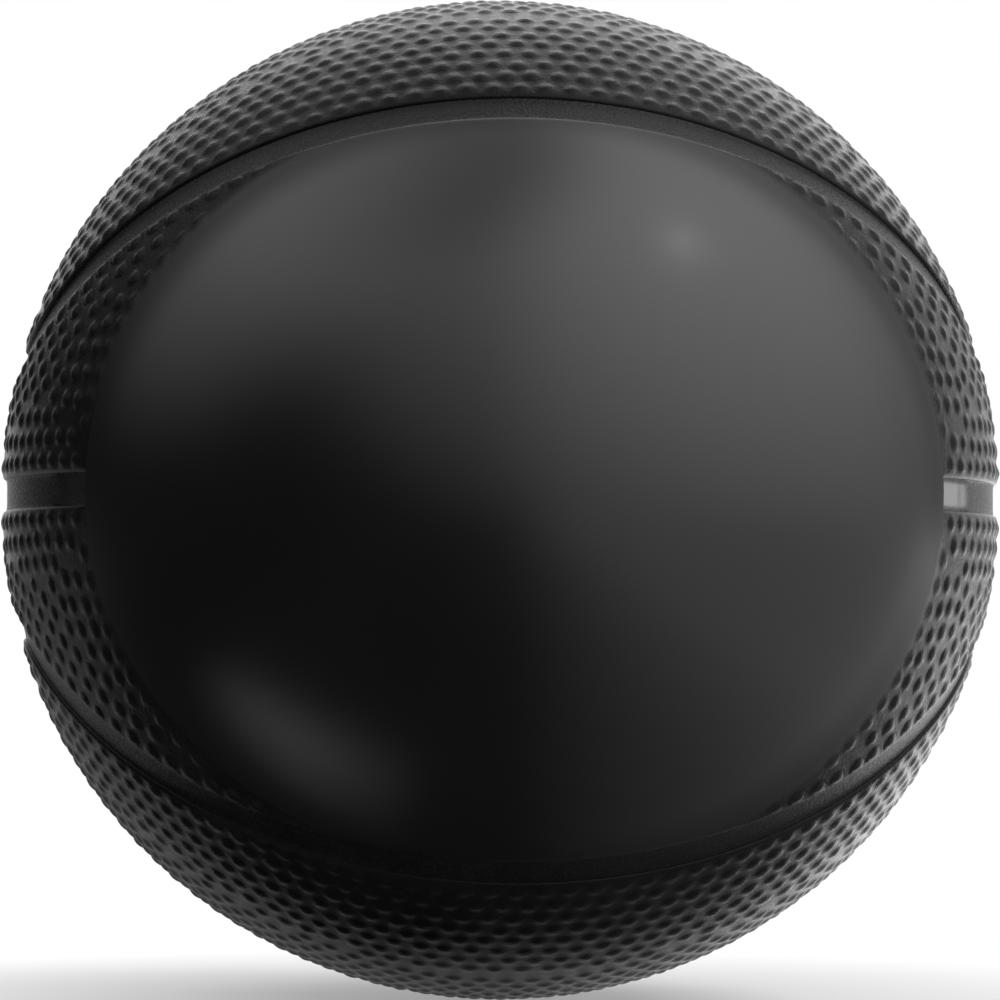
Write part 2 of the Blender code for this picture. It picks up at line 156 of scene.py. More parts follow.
def seamWall(axes, start, end, side):
    # one wall of a straight channel
    return seamDirection(axes, np.linspace(start, end, seams["samples"]), side)


# half width and half height of the oval as seen from the front; it meets the belt's edge at its shoulder
beltHigh = loopEdge(half)
shoulder, ovalWide = math.sin(seams["imprintShoulder"]), math.sin(seams["imprintSide"])
meets = np.interp(shoulder, beltHigh[::-1, 0], beltHigh[::-1, 2])
ovalTall = meets / math.sqrt(1 - (shoulder / ovalWide) ** 2)


def ovalPoint(angle):
    # ellipse in the front view, lifted onto the ball
    x, z = ovalWide * np.cos(angle), ovalTall * np.sin(angle)
    return np.stack([x, -np.sqrt(1 - x**2 - z**2), z], -1)


def shoulderOf(edge):
    # index on a loop's edge, and the oval's own angle, where the two meet on the right
    outside = (edge[:, 0] / ovalWide) ** 2 + (edge[:, 2] / ovalTall) ** 2 > 1
    index = int(np.flatnonzero(outside & (edge[:, 0] > 0))[-1])
    return index, math.atan2(edge[index, 2] / ovalTall, edge[index, 0] / ovalWide)


def cellCount(length, cell):
    # cells along a length, a number that the thinned back divides
    return cells["thin"] * math.ceil(float(length) / cell / cells["thin"])


def gridShares(length, cell, lipStart, lipEnd):
    # shares of each length: quarter-round steps over a lip and even cells between
    lip = np.minimum(lips["width"], lips["most"] * length)[:, None]
    rise = 1 - np.cos(np.linspace(0, math.pi / 2, lips["lines"] + 1))
    low, high, length = lip * lipStart, lip * lipEnd, length[:, None]
    lines = [low + (length - low - high) * np.linspace(0, 1, cellCount(length.max(), cell) + 1)]
    if lipStart:
        lines.insert(0, lip * rise[:-1])
    if lipEnd:
        lines.append(length - lip * rise[-2::-1])
    return np.concatenate(lines, 1) / length


def patchGrid(low, high, cell, lipStart=False, lipEnd=False, side=None):
    # surface between two edges, joined at equal shares of their lengths; a curved side bends the far end
    span = max(curveLength(low)[-1], curveLength(high)[-1]) * crest
    u = gridShares(np.array([span]), cell, lipStart, lipEnd)[0]
    if not lipStart and side is None:
        mark = np.array([tip["share"]])
        reach = np.linalg.norm(along(low, mark) - along(high, mark)) * crest
        blunt = tip["share"] * tip["gap"] / reach
        u = blunt + (1 - 2 * blunt) * u
    foot, head = along(low, u), along(high, u)
    height = np.linalg.norm(head - foot, axis=1) * crest
    if side is not None:
        height = np.maximum(height, u * curveLength(side)[-1] * crest)
    v = gridShares(height, cell, True, True)[..., None]
    grid = (1 - v) * foot[:, None] + v * head[:, None]
    if side is not None:
        straight = (1 - v) * side[0] + v * side[-1]
        grid = grid + u[:, None, None] * (along(side, v[..., 0]) - straight)
    return unit(grid)


def inChunks(function, directions, size=4096):
    # a function of directions run over a few thousand at a time, to spare memory
    flat = directions.reshape(-1, 3)
    parts = [function(flat[k : k + size]) for k in range(0, len(flat), size)]
    return np.concatenate(parts).reshape(directions.shape[:-1])


loopMiddle, loopAway = loopFrame(0, math.pi / 2)
ovalQuarter = ovalPoint(np.linspace(0, math.pi / 2, seams["samples"]))


def folded(directions):
    # every direction moved to the right upper front, by the ball's symmetry
    return np.abs(directions) * np.array([1, -1, 1])


def loopDistance(directions):
    # angle to the nearest loop's middle line, measured to its side at the nearest sample
    def measure(part):
        # lean to the side at the sample with the largest cosine
        nearest = np.argmax(part @ loopMiddle.T, axis=1)
        return leanOf((part * loopAway[nearest]).sum(1))
    return inChunks(measure, folded(directions))


def ovalDistance(directions):
    # angle to the nearest sample of the imprint oval
    return inChunks(lambda part: angleOf((part @ ovalQuarter.T).max(1)), folded(directions))


def seamDistances(directions):
    # angles to the middle lines of the loops, the vertical and the horizontal seam
    return loopDistance(directions), leanOf(directions[..., 1]), leanOf(directions[..., 2])


def quarterRound(share):
    # 1 at a share of 0, falling as a quarter circle to 0 at a share of 1
    near = 1 - np.clip(share, 0, 1)
    return 1 - np.sqrt(1 - near**2)


# the horizontal channel runs out to the oval on a flat ramp
mouths = {
    "step": 0.00014,  # ramp's end below the smooth skin
    "flatTo": math.radians(62.4),  # front centre to the foot of the ramp
    "soft": math.radians(1.2),
    "least": 0.5,  # divisor away from the ramps
}


def rampRadius(directions):
    # plane that meets the channel floor squarely at flatTo and rises to just below the smooth skin
    x, y, z = np.abs(directions[..., 0]), directions[..., 1], np.abs(directions[..., 2])
    foot = mouths["flatTo"]
    across = x * math.sin(foot) - y * math.cos(foot)
    before = x < -y * math.tan(foot)
    beside = z < math.sin(half + lips["width"] / crest)
    level = (land - mouths["step"]) * math.cos(foot - seams["imprintSide"])
    return np.where(before & beside, level / np.maximum(across, mouths["least"]), 0.0)


def rampShare(directions):
    # 1 on the ramps, falling to 0 over a short way where they end on the channel floor
    turn = np.arctan2(np.abs(directions[..., 0]), -directions[..., 1])
    beside = np.abs(directions[..., 2]) < math.sin(half)
    foot, soft = mouths["flatTo"], mouths["soft"]
    return beside * (1 - smoothStep(turn, foot - soft, foot + soft))


def lipFall(distance):
    # 1 at a channel's wall, falling as a quarter circle to 0 where the lip ends
    return quarterRound((distance - half) * crest / lips["width"])


def lipDrop(directions):
    # metres by which a rounded lip lies below the land; beside the ramps it is only as deep as they are
    loop, vertical, horizontal = seamDistances(directions)
    deep = np.minimum(lips["drop"], np.maximum(land - rampRadius(directions), 0))
    return np.maximum(deep * lipFall(horizontal), lips["drop"] * lipFall(np.minimum(loop, vertical)))


def wallDistance(directions):
    # metres along the ball to the nearest channel wall
    nearest = np.minimum.reduce(seamDistances(directions))
    return np.maximum(nearest - half, 0) * crest


pebbles = {
    "pitch": 0.0032,  # along a row
    "rowStep": 0.0028,  # row to row
    "mostRows": 40,
    "marks": 401,  # points on an edge
    "margin": 0.0015,  # first row to a channel wall
    "slack": 0.0002,  # of a row towards another edge
    "closest": 0.0024,  # nearer ones are left out where rows meet
    "easy": 0.0031,  # pebbles nearer than this push each other apart
    "easing": 24,
    "push": 0.12,
    "radius": 0.00117,
    "foot": 0.00005,  # rounding where a pebble meets the land
    "jitter": 0.00010,
    "vary": 0.20,
    "tall": 0.90,  # of the height from land to crest
    "lipFade": (0.2, 2.0),  # pebbles grow between these shares of a lip's width
    "ovalFade": 0.0034,  # and over this width beside the smooth oval
    "ovalEdge": 0.0020,  # the skin loses its gloss over this one
    "edgeRough": 0.35,  # share of the grain that starts at the oval itself
    "lipRough": 0.0012,  # lips keep their grain over this width
    "valveRing": 0.0062,  # smooth ring round the valve
    "valveFade": 0.0016,
    "seeds": (10, 20, 30, 40),  # caps at the front and back, belt ends, back belts
}


def spreadPebbles(edges):
    # rows at equal steps inside each edge, kept where that edge is nearest, then pushed apart to even gaps
    centre = unit(np.vstack(edges).mean(0))
    marks = [along(edge, np.linspace(0, 1, pebbles["marks"])) for edge in edges]
    found, fixed = [], []
    for line in marks:
        side = unit(np.cross(np.gradient(line, axis=0), line))
        side = side * np.sign(((centre - line) * side).sum(1).mean())
        for row in range(pebbles["mostRows"]):
            inset = (pebbles["margin"] + row * pebbles["rowStep"]) / crest
            curve = line * math.cos(inset) + side * math.sin(inset)
            step = pebbles["pitch"] / crest / curveLength(curve)[-1]
            count = int(0.5 / step)
            share = 0.5 + (np.arange(-count, count + 1) + 0.5 * (row % 2)) * step
            points = along(curve, share[(share > 0) & (share < 1)])
            away = np.stack([angleOf((points @ mark.T).max(1)) for mark in marks], 1)
            keep = (away >= inset - pebbles["slack"] / crest).all(1)
            if not keep.any():
                break
            found.append(points[keep])
            fixed.append(np.full(keep.sum(), row == 0))
    points, fixed = np.vstack(found), np.concatenate(fixed)
    order = np.argsort(~fixed, kind="stable")
    points, fixed = points[order], fixed[order]
    keep = np.ones(len(points), bool)
    close = angleOf(points @ points.T) * crest < pebbles["closest"]
    for k in range(len(points)):
        if keep[k]:
            keep[k + 1 :] &= ~close[k, k + 1 :]
    points, fixed = points[keep], fixed[keep]
    for _ in range(pebbles["easing"]):
        apart = points[:, None] - points[None]
        gap = np.linalg.norm(apart, axis=2) + 1e-9
        push = np.clip(1 - gap * crest / pebbles["easy"], 0, 1) * pebbles["push"]
        move = (apart / gap[..., None] * push[..., None]).sum(1) * pebbles["easy"] / crest
        points = unit(points + move * ~fixed[:, None])
    return points


def pebbleRelief(directions, centres, seed):
    # metres above the land: each pebble is a paraboloid whose foot is rounded by a soft maximum with 0
    random, vary = np.random.default_rng(seed), pebbles["vary"]
    centres = unit(centres + random.normal(0, pebbles["jitter"] / crest, centres.shape))
    radius = pebbles["radius"] * random.uniform(1 - vary / 2, 1 + vary / 2, len(centres))
    tall = (crest - land) * pebbles["tall"] * random.uniform(1 - vary, 1, len(centres))

    def measure(part):
        # height of the nearest pebble
        nearness = part @ centres.T
        nearest = np.argmax(nearness, axis=1)
        gap = angleOf(nearness[np.arange(len(part)), nearest]) * crest
        dome = tall[nearest] * (1 - (gap / radius[nearest]) ** 2)
        return 0.5 * (dome + np.sqrt(dome**2 + pebbles["foot"] ** 2))
    return inChunks(measure, directions)


def quads(index):
    # corner numbers of a grid's cells
    return np.stack([index[:-1, :-1], index[1:, :-1], index[1:, 1:], index[:-1, 1:]], -1).reshape(-1, 4)


def rimFaces(top, low):
    # wall under a rim: each face has one coarse step of the back and all the fine steps above it
    step = cells["thin"]
    fine = np.arange(step + 1) + step * np.arange(len(low) - 1)[:, None]
    return np.concatenate([top[fine], low[1:, None], low[:-1, None]], 1)


def plateMesh(name, directions, outer, inner, ring=False):
    # closed plate on the ball: fine outer grid, thinned back grid, walls round the rim
    step = cells["thin"]
    rows, columns = directions.shape[:2]
    back = directions[::step, ::step]
    points = np.concatenate([(directions * outer[..., None]).reshape(-1, 3), (back * inner).reshape(-1, 3)])
    top = np.arange(rows * columns).reshape(rows, columns)
    low = top.size + np.arange(back.shape[0] * back.shape[1]).reshape(back.shape[:2])
    if ring:
        top, low = np.vstack([top, top[:1]]), np.vstack([low, low[:1]])
    walls = [rimFaces(top[:, 0], low[:, 0])[:, ::-1], rimFaces(top[:, -1], low[:, -1])]
    if not ring:
        walls += [rimFaces(top[0], low[0]), rimFaces(top[-1], low[-1])[:, ::-1]]
    faces = [quads(top), quads(low)[:, ::-1], *walls]
    row, column = rows // 2, columns // 2
    a, b, c = directions[row, column], directions[row + 1, column], directions[row, column + 1]
    if np.dot(np.cross(b - a, c - a), a) < 0:
        faces = [face[:, ::-1] for face in faces]
    mesh = bpy.data.meshes.new(name)
    mesh.from_pydata(points, [], [face for group in faces for face in group.tolist()])
    return mesh


def addObject(name, data):
    # object at the origin, linked to the scene
    made = bpy.data.objects.new(name, data)
    bpy.context.scene.collection.objects.link(made)
    return made


def addPiece(mesh, node, material, sharp=math.radians(50)):
    # object that rides on the ball and stands for a CAD node
    mesh.shade_smooth()
    mesh.set_sharp_from_angle(angle=sharp)
    piece = addObject(mesh.name, mesh)
    mesh.materials.append(material)
    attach(piece, "root")
    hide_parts(node)
    return piece


def setAttribute(mesh, name, values):
    # one number for each vertex; the back's vertices get 0
    full = np.zeros(len(mesh.vertices), np.float32)
    full[: values.size] = values.ravel()
    mesh.attributes.new(name, "FLOAT", "POINT").data.foreach_set("value", full)


def feed(tree, socket, value):
    # a node's output is linked to the socket, and any other value is set on it
    if isinstance(value, bpy.types.NodeSocket):
        tree.links.new(value, socket)
    else:
        socket.default_value = value


def node(tree, kind, **values):
    # shader node with its inputs; an underscore in a name is a space
    made = tree.nodes.new("ShaderNode" + kind)
    for key, value in values.items():
        feed(tree, made.inputs[key.replace("_", " ")], value)
    return made


def sums(tree, operation, *values, kind="Math", output="Value"):
    # arithmetic on one to three numbers or outputs, or on vectors
    made = node(tree, kind)
    made.operation = operation
    for socket, value in zip(made.inputs, values):
        feed(tree, socket, value)
    return made.outputs[output]


def mixed(tree, share, low, high):
    # low and high blended by a share
    return node(tree, "MapRange", Value=share, To_Min=low, To_Max=high).outputs["Result"]


def ramp(tree, value, low, high, start=0.0, end=1.0):
    # value between low and high stretched to start and end
    made = node(tree, "MapRange", Value=value, From_Min=low, From_Max=high, To_Min=start, To_Max=end)
    return made.outputs["Result"]


def attribute(tree, name):
    # outputs that read a named attribute of the mesh
    made = node(tree, "Attribute")
    made.attribute_name = name
    return made.outputs


def objectPlace(tree):
    # place on the piece, in metres
    return node(tree, "TexCoord").outputs["Object"]


def twoTone(tree, share, look):
    # colour between the look's dark and light
    tint = node(tree, "ValToRGB", Fac=share)
    for stop, tone in zip(tint.color_ramp.elements, ("dark", "light")):
        stop.color = (*look[tone], 1)
    return tint.outputs["Color"]


def newMaterial(name):
    # empty material with its node tree and main shader
    material = bpy.data.materials.new(name)
    material.use_nodes = True
    return material, material.node_tree, material.node_tree.nodes["Principled BSDF"]


noises = {
    "grain": {"Detail": 2.0, "Roughness": 0.6},
    "cloud": {"Detail": 4.0, "Roughness": 0.5},
    "spread": (0.3, 0.7),  # nearly all of a noise lies between
    "speck": (0.05, 0.02),  # where a speck starts and is full
}


def rubberMaterial(name, look):
    # moulded rubber: near-black that clouds a little, mould grain as bump and gloss, a few specks of dust;
    # where the attribute says so the grain fades to a smooth skin with a coat
    material, tree, shader = newMaterial(name)
    place = objectPlace(tree)
    grain = node(tree, "TexNoise", Vector=place, Scale=look["grainScale"], **noises["grain"]).outputs["Fac"]
    cloud = node(tree, "TexNoise", Vector=place, Scale=look["cloudScale"], **noises["cloud"]).outputs["Fac"]
    specks = node(tree, "TexVoronoi", Vector=place, Scale=look["speckScale"]).outputs
    draw = node(tree, "SeparateColor", Color=specks["Color"]).outputs["Red"]
    chosen = sums(tree, "GREATER_THAN", draw, look["speckRare"])
    speck = sums(tree, "MULTIPLY", chosen, ramp(tree, specks["Distance"], *noises["speck"]))
    tint = twoTone(tree, ramp(tree, cloud, *noises["spread"]), look)
    dusty = node(tree, "MixRGB", Fac=speck, Color1=tint, Color2=(*look["dust"], 1)).outputs["Color"]
    gloss, strength, coat = ramp(tree, grain, *noises["spread"], *look["roughness"]), 1.0, look["coat"]
    if look["fades"]:
        rough = attribute(tree, "rough")["Fac"]
        gloss = mixed(tree, rough, look["smooth"], gloss)
        strength = mixed(tree, rough, look["smoothGrain"], 1.0)
        coat = mixed(tree, rough, look["coat"], 0.0)
    bump = node(tree, "Bump", Height=grain, Strength=strength, Distance=look["grainDepth"]).outputs["Normal"]
    inputs = {
        "Base Color": dusty, "Roughness": gloss, "Normal": bump, "IOR": look["ior"],
        "Coat Weight": coat, "Coat IOR": look["coatIor"], "Coat Roughness": look["coatRoughness"],
    }
    for key, value in inputs.items():
        feed(tree, shader.inputs[key], value)
    return material


# what the rubbers of the outside share
rubber = {
    "fades": True, "smooth": 0.34, "speckScale": 260.0,
    "ior": 1.32, "coat": 1.0, "coatIor": 1.6, "coatRoughness": 0.24,
}
coverRubber = {
    **rubber, "smoothGrain": 0.02, "speckRare": 0.96, "dust": (0.20, 0.20, 0.19),
    "dark": (0.0095, 0.0095, 0.0100), "light": (0.0130, 0.0130, 0.0136), "cloudScale": 90.0,
    "roughness": (0.15, 0.26), "grainScale": 3300.0, "grainDepth": 0.000085,
}
imprintRubber = {
    **rubber, "smoothGrain": 0.5, "speckRare": 0.995, "dust": (0.05, 0.05, 0.05),
    "dark": (0.0100, 0.0100, 0.0105), "light": (0.0122, 0.0122, 0.0128), "cloudScale": 60.0,
    "roughness": (0.33, 0.38), "grainScale": 2600.0, "grainDepth": 0.000004,
    "ior": 1.6, "speckScale": 120.0,
}
seamRubber = {
    **rubber, "smoothGrain": 0.3, "speckRare": 0.95, "dust": (0.22, 0.22, 0.21),
    "dark": (0.0090, 0.0090, 0.0095), "light": (0.0125, 0.0125, 0.0130), "cloudScale": 120.0,
    "roughness": (0.22, 0.36), "grainScale": 3000.0, "grainDepth": 0.00009,
    "smooth": 0.30,
}
# the loops shine a little more
loopRubber = {**seamRubber, "ior": 1.44, "roughness": (0.18, 0.36), "grainDepth": 0.00011}
coverMaterial = rubberMaterial("coverRubber", coverRubber)
imprintMaterial = rubberMaterial("imprintRubber", imprintRubber)
seamMaterial = rubberMaterial("seamRubber", seamRubber)
loopMaterial = rubberMaterial("loopRubber", loopRubber)

# edges of the three kinds of pebbled panel, each on the upper front or upper right front
cornerTurn = math.acos(math.tan(half))
capHigh = loopEdge(-half)
tipTurn = math.atan2(capHigh[0, 2], capHigh[0, 0])
capLow = seamWall(verticalAxes, tipTurn, math.pi - tipTurn, -half)
beltLow = seamWall(horizontalAxes, cornerTurn, -cornerTurn, half)
sideTurn = math.atan2(beltHigh[0, 2], beltHigh[0, 0])
footTurn = math.atan2(beltLow[0, 2], beltLow[0, 0])
beltSide = seamWall(verticalAxes, footTurn, sideTurn, -half)
shoulderIndex, shoulderAngle = shoulderOf(beltHigh)
endHigh = beltHigh[: shoulderIndex + 1]
endOval = ovalPoint(np.linspace(math.asin(math.sin(half) / ovalTall), shoulderAngle, seams["samples"]))
endOval[-1] = endHigh[-1]
endLow = seamWall(horizontalAxes, cornerTurn, math.atan2(endOval[0, 0], -endOval[0, 1]), half)


def pebbledPanel(name, grid, centres, signs, seed, atOval=False, atValve=False):
    # panel mirrored to its place: land, rounded lips, and pebbles that fade at lips, oval and valve
    grid, centres = grid * np.array(signs, float), centres * np.array(signs, float)
    wall = wallDistance(grid)
    grown = smoothStep(wall / lips["width"], *pebbles["lipFade"])
    pebbled = rough = np.ones_like(wall)
    if atOval:
        away = ovalDistance(grid) * crest
        least = pebbles["edgeRough"]
        pebbled = smoothStep(away, 0.0, pebbles["ovalFade"])
        rough = least + (1 - least) * smoothStep(away, 0.0, pebbles["ovalEdge"])
        rough = np.maximum(rough, 1 - smoothStep(wall, 0.0, pebbles["lipRough"]))
    if atValve:
        ring = angleOf(grid @ valveAxis) * crest
        pebbled = smoothStep(ring, pebbles["valveRing"], pebbles["valveRing"] + pebbles["valveFade"])
    relief = pebbleRelief(grid, centres, seed) * grown * pebbled
    outer = land - lipDrop(grid) + relief
    mesh = plateMesh(name + "_moulded", grid, outer, coverInner)
    setAttribute(mesh, "rough", rough)
    return addPiece(mesh, name, coverMaterial)


capCentres = spreadPebbles([capHigh, capLow])
beltCentres = spreadPebbles([beltHigh, beltLow, beltSide, beltSide * mirrorX])
endCentres = spreadPebbles([endHigh, endLow, beltSide, endOval])
print("pebbles:", len(capCentres), "a cap,", len(beltCentres), "a back belt,", len(endCentres), "a belt end")

capFine = patchGrid(capLow, capHigh, cells["front"])
capPlain = patchGrid(capLow, capHigh, cells["back"])
beltGrid = patchGrid(beltLow, beltHigh, cells["back"], True, True)
endGrid = patchGrid(endLow, endHigh, cells["end"], True, False, endOval)
frontSeed, farSeed, endSeed, backSeed = pebbles["seeds"]
for row, (level, z) in enumerate((("upper", 1), ("lower", -1))):
    pebbledPanel(f"{level}_cap_front", capFine, capCentres, (1, 1, z), frontSeed + row)
    pebbledPanel(f"{level}_cap_back", capPlain, capCentres, (1, -1, z), farSeed + row)
    for place, (side, x) in enumerate((("right", 1), ("left", -1))):
        seed = endSeed + 2 * row + place
        pebbledPanel(f"{level}_belt_front_{side}", endGrid, endCentres, (x, 1, z), seed, atOval=True)
valveBelt = pebbledPanel("upper_belt_back", beltGrid, beltCentres, (1, -1, 1), backSeed, atValve=True)
pebbledPanel("lower_belt_back", beltGrid, beltCentres, (1, -1, -1), backSeed + 1)
print("pebbled panels done")

imprint = {"dullEdge": 0.0060, "dullMost": 0.9}  # the skin's gloss fades towards the pebbles


def imprintPanel():
    # smooth oval, cut off by the loops: columns join its lower and upper outline
    side = ovalPoint(np.linspace(0, shoulderAngle, seams["samples"]))
    crown = beltHigh[shoulderIndex:]
    crown = crown[crown[:, 0] > -crown[0, 0]]
    upper = np.vstack([side[:-1], crown, side[-2::-1] * mirrorX])
    grid = patchGrid(upper * mirrorZ, upper, cells["imprint"])
    outer = land - lips["drop"] * lipFall(loopDistance(grid))
    mesh = plateMesh("imprint_panel_moulded", grid, outer, coverInner)
    dull = 1 - smoothStep(ovalDistance(grid) * crest, 0.0, imprint["dullEdge"])
    setAttribute(mesh, "rough", imprint["dullMost"] * dull)
    addPiece(mesh, "imprint_panel", imprintMaterial)


imprintPanel()
print("imprint panel done")

strips = {
    "fillet": 0.0013, "rise": 0.00016,  # hollow along a wall
    "clear": 0.00001,  # strip to wall
    "across": 24,
    "polishRight": 1.0, "polishLeft": 0.25,  # of the ramps
    "polishEdge": (0.55, 0.9),  # of the half width, where it ends
    "nearSide": 0.2,  # stretch of a loop that crosses the vertical seam
}
stripSide = np.linspace(-1, 1, strips["across"] + 1) * (half - strips["clear"] / crest)


def stripRadius(directions):
    # channel floor or ramp, with a hollow fillet that rises to the nearest wall and fades out on the ramp
    depth = (half - np.minimum.reduce(seamDistances(directions))) * crest
    fillet = strips["rise"] * quarterRound(depth / strips["fillet"]) * (1 - rampShare(directions))
    return np.maximum(channelFloor, rampRadius(directions)) + fillet


def straightStrip(name, axes, start, end, polish=0.0):
    # strip along a straight seam between angles given for each step across it; its ramp is polished
    share = np.linspace(0, 1, cellCount(np.abs(end - start).max() * crest, cells["strip"]) + 1)[:, None]
    grid = seamDirection(axes, start + (end - start) * share, stripSide[None])
    mesh = plateMesh(name + "_moulded", grid, stripRadius(grid), coverInner)
    middle = 1 - smoothStep(np.abs(stripSide) / half, *strips["polishEdge"])
    setAttribute(mesh, "rough", 1 - polish * rampShare(grid) * middle)
    addPiece(mesh, name, seamMaterial)


def loopTurn(offset):
    # angles along the vertical seam at which a loop's edge lies, for each step across the strip
    middle, away = loopFrame(-strips["nearSide"], strips["nearSide"])
    curve = middle * math.cos(offset) + away * math.sin(offset)
    curve = curve[np.argsort(curve[:, 1])]
    return np.interp(np.sin(stripSide), curve[:, 1], np.arctan2(curve[:, 2], curve[:, 0]))


crownTurn, beltTurn = loopTurn(-half), loopTurn(half)
# angles along the horizontal seam at which the vertical channel's wall lies and the smooth oval ends
wallTurn = np.arccos(math.sin(half) / np.cos(stripSide))
ovalTurn = np.arcsin(ovalWide * np.sqrt(1 - (np.sin(stripSide) / ovalTall) ** 2) / np.cos(stripSide))
straightStrip("crown_seam_upper", verticalAxes, crownTurn, math.pi - crownTurn)
straightStrip("crown_seam_lower", verticalAxes, crownTurn - math.pi, -crownTurn)
straightStrip("side_seam_right", verticalAxes, -beltTurn, beltTurn)
straightStrip("side_seam_left", verticalAxes, math.pi - beltTurn, math.pi + beltTurn)
straightStrip("belt_seam_back", horizontalAxes, math.pi - wallTurn, math.pi + wallTurn)
straightStrip("belt_seam_front_right", horizontalAxes, ovalTurn, wallTurn, strips["polishRight"])
straightStrip("belt_seam_front_left", horizontalAxes, -wallTurn, -ovalTurn, strips["polishLeft"])


def loopStrip(name, sign):
    # band of even width along a loop, closed on itself
    middle, away = loopFrame(0, 2 * math.pi)
    length = curveLength(middle)
    count = cellCount(length[-1] * crest, cells["strip"])
    share, sample = np.arange(count) / count, np.arange(len(length))
    line = along(middle, share)
    place = np.interp(share * length[-1], length, sample)
    aside = unit(np.stack([np.interp(place, sample, away[:, k]) for k in range(3)], -1))
    side = stripSide[None, :, None]
    grid = (line[:, None] * np.cos(side) + aside[:, None] * np.sin(side)) * np.array([1.0, 1.0, sign])
    mesh = plateMesh(name + "_moulded", grid, stripRadius(grid), coverInner, ring=True)
    setAttribute(mesh, "rough", np.ones(grid.shape[:2]))
    addPiece(mesh, name, loopMaterial)


loopStrip("loop_seam_upper", 1.0)
loopStrip("loop_seam_lower", -1.0)
print("seam strips done")

valve = {
    "sides": 96,
    "needleHole": 0.0011,
    "mouth": 0.0004,  # rounding of the needle hole, the stem's face and the hole in the cover
    "stem": 0.0030,
    "holeInCover": 0.0033,
    "flange": 0.0080, "flangeTop": 0.058608, "flangeThick": 0.0010,  # the flange's top is part of a ball
    "flangeSteps": 9,
    "boot": 0.0043, "bootLong": 0.0085,
    "bore": 0.0024, "groove": 0.0029, "neck": 0.0022,
    "plug": 0.0021, "bead": 0.0005, "beadLong": 0.0012, "beadInset": 0.0020, "guide": 0.0010,
    "gap": 0.0003,
    "arcSteps": 8,
    "sharp": math.radians(40),
    "toolBelow": 0.002, "toolAbove": 0.001, "toolFlare": 0.002,  # what cuts the cover goes past it
    "merge": 1e-7,
}
valveFace = float(np.dot(valveMount["pos_m"], valveAxis))


def arc(radius, height, size, start, end):
    # quarter of a circle in the profile's plane, angles in degrees from outwards
    angle = np.radians(np.linspace(start, end, valve["arcSteps"] + 1))
    return list(zip(radius + size * np.cos(angle), height + size * np.sin(angle)))


def onBall(ball, radius):
    # height at which a ball about the centre has the given distance from the axis
    return math.sqrt(ball**2 - radius**2)


def mergePoints(mesh, gap, outward=True):
    # points closer than the gap become one, and a turned surface's faces are put outwards
    work = bmesh.new()
    work.from_mesh(mesh)
    bmesh.ops.remove_doubles(work, verts=work.verts, dist=gap)
    if outward:
        bmesh.ops.recalc_face_normals(work, faces=work.faces)
    work.to_mesh(mesh)
    work.free()
    return mesh


def aroundValve(sides):
    # even steps of angle round the valve's axis, and the direction outwards at each
    turn = np.linspace(0, 2 * math.pi, sides, endpoint=False)
    aside = unit(np.cross(valveAxis, [1.0, 0.0, 0.0]))
    across = np.cross(valveAxis, aside)
    return turn, np.cos(turn)[:, None] * aside + np.sin(turn)[:, None] * across


def closedMesh(name, points, gap):
    # mesh of a grid that runs back into itself both ways
    index = np.arange(points.shape[0] * points.shape[1]).reshape(points.shape[:2])
    mesh = bpy.data.meshes.new(name)
    mesh.from_pydata(points.reshape(-1, 3), [], quads(np.pad(index, ((0, 1), (0, 1)), "wrap")).tolist())
    return mergePoints(mesh, gap)


def turnedMesh(name, profile):
    # profile of radius and height carried round the valve's axis, ends closed
    radius, height = np.array(profile).T
    ring = aroundValve(valve["sides"])[1]
    points = ring[:, None] * radius[None, :, None] + valveAxis * height[None, :, None]
    return closedMesh(name, points, valve["merge"])


def cutValveHole(belt):
    # round hole with a rounded rim, cut through the cover over the valve
    hole, rim = valve["holeInCover"], valve["mouth"]
    deep, high = coverInner - valve["toolBelow"], crest + valve["toolAbove"]
    edge = arc(hole + rim, land - rim, rim, 180, 90)
    wide = hole + rim + valve["toolFlare"]
    tool = turnedMesh("holeTool", [(0.0, deep), (hole, deep), *edge, (wide, high), (0.0, high)])
    cutter = addObject("holeTool", tool)
    cut = belt.modifiers.new("valveHole", "BOOLEAN")
    cut.operation, cut.solver, cut.object = "DIFFERENCE", "EXACT", cutter
    done = bpy.data.meshes.new_from_object(belt.evaluated_get(bpy.context.evaluated_depsgraph_get()))
    belt.modifiers.clear()
    old, belt.data = belt.data, done
    bpy.data.meshes.remove(old)
    bpy.data.objects.remove(cutter)
    bpy.data.meshes.remove(tool)
    mergePoints(done, valve["merge"], outward=False)
    done.name = belt.name


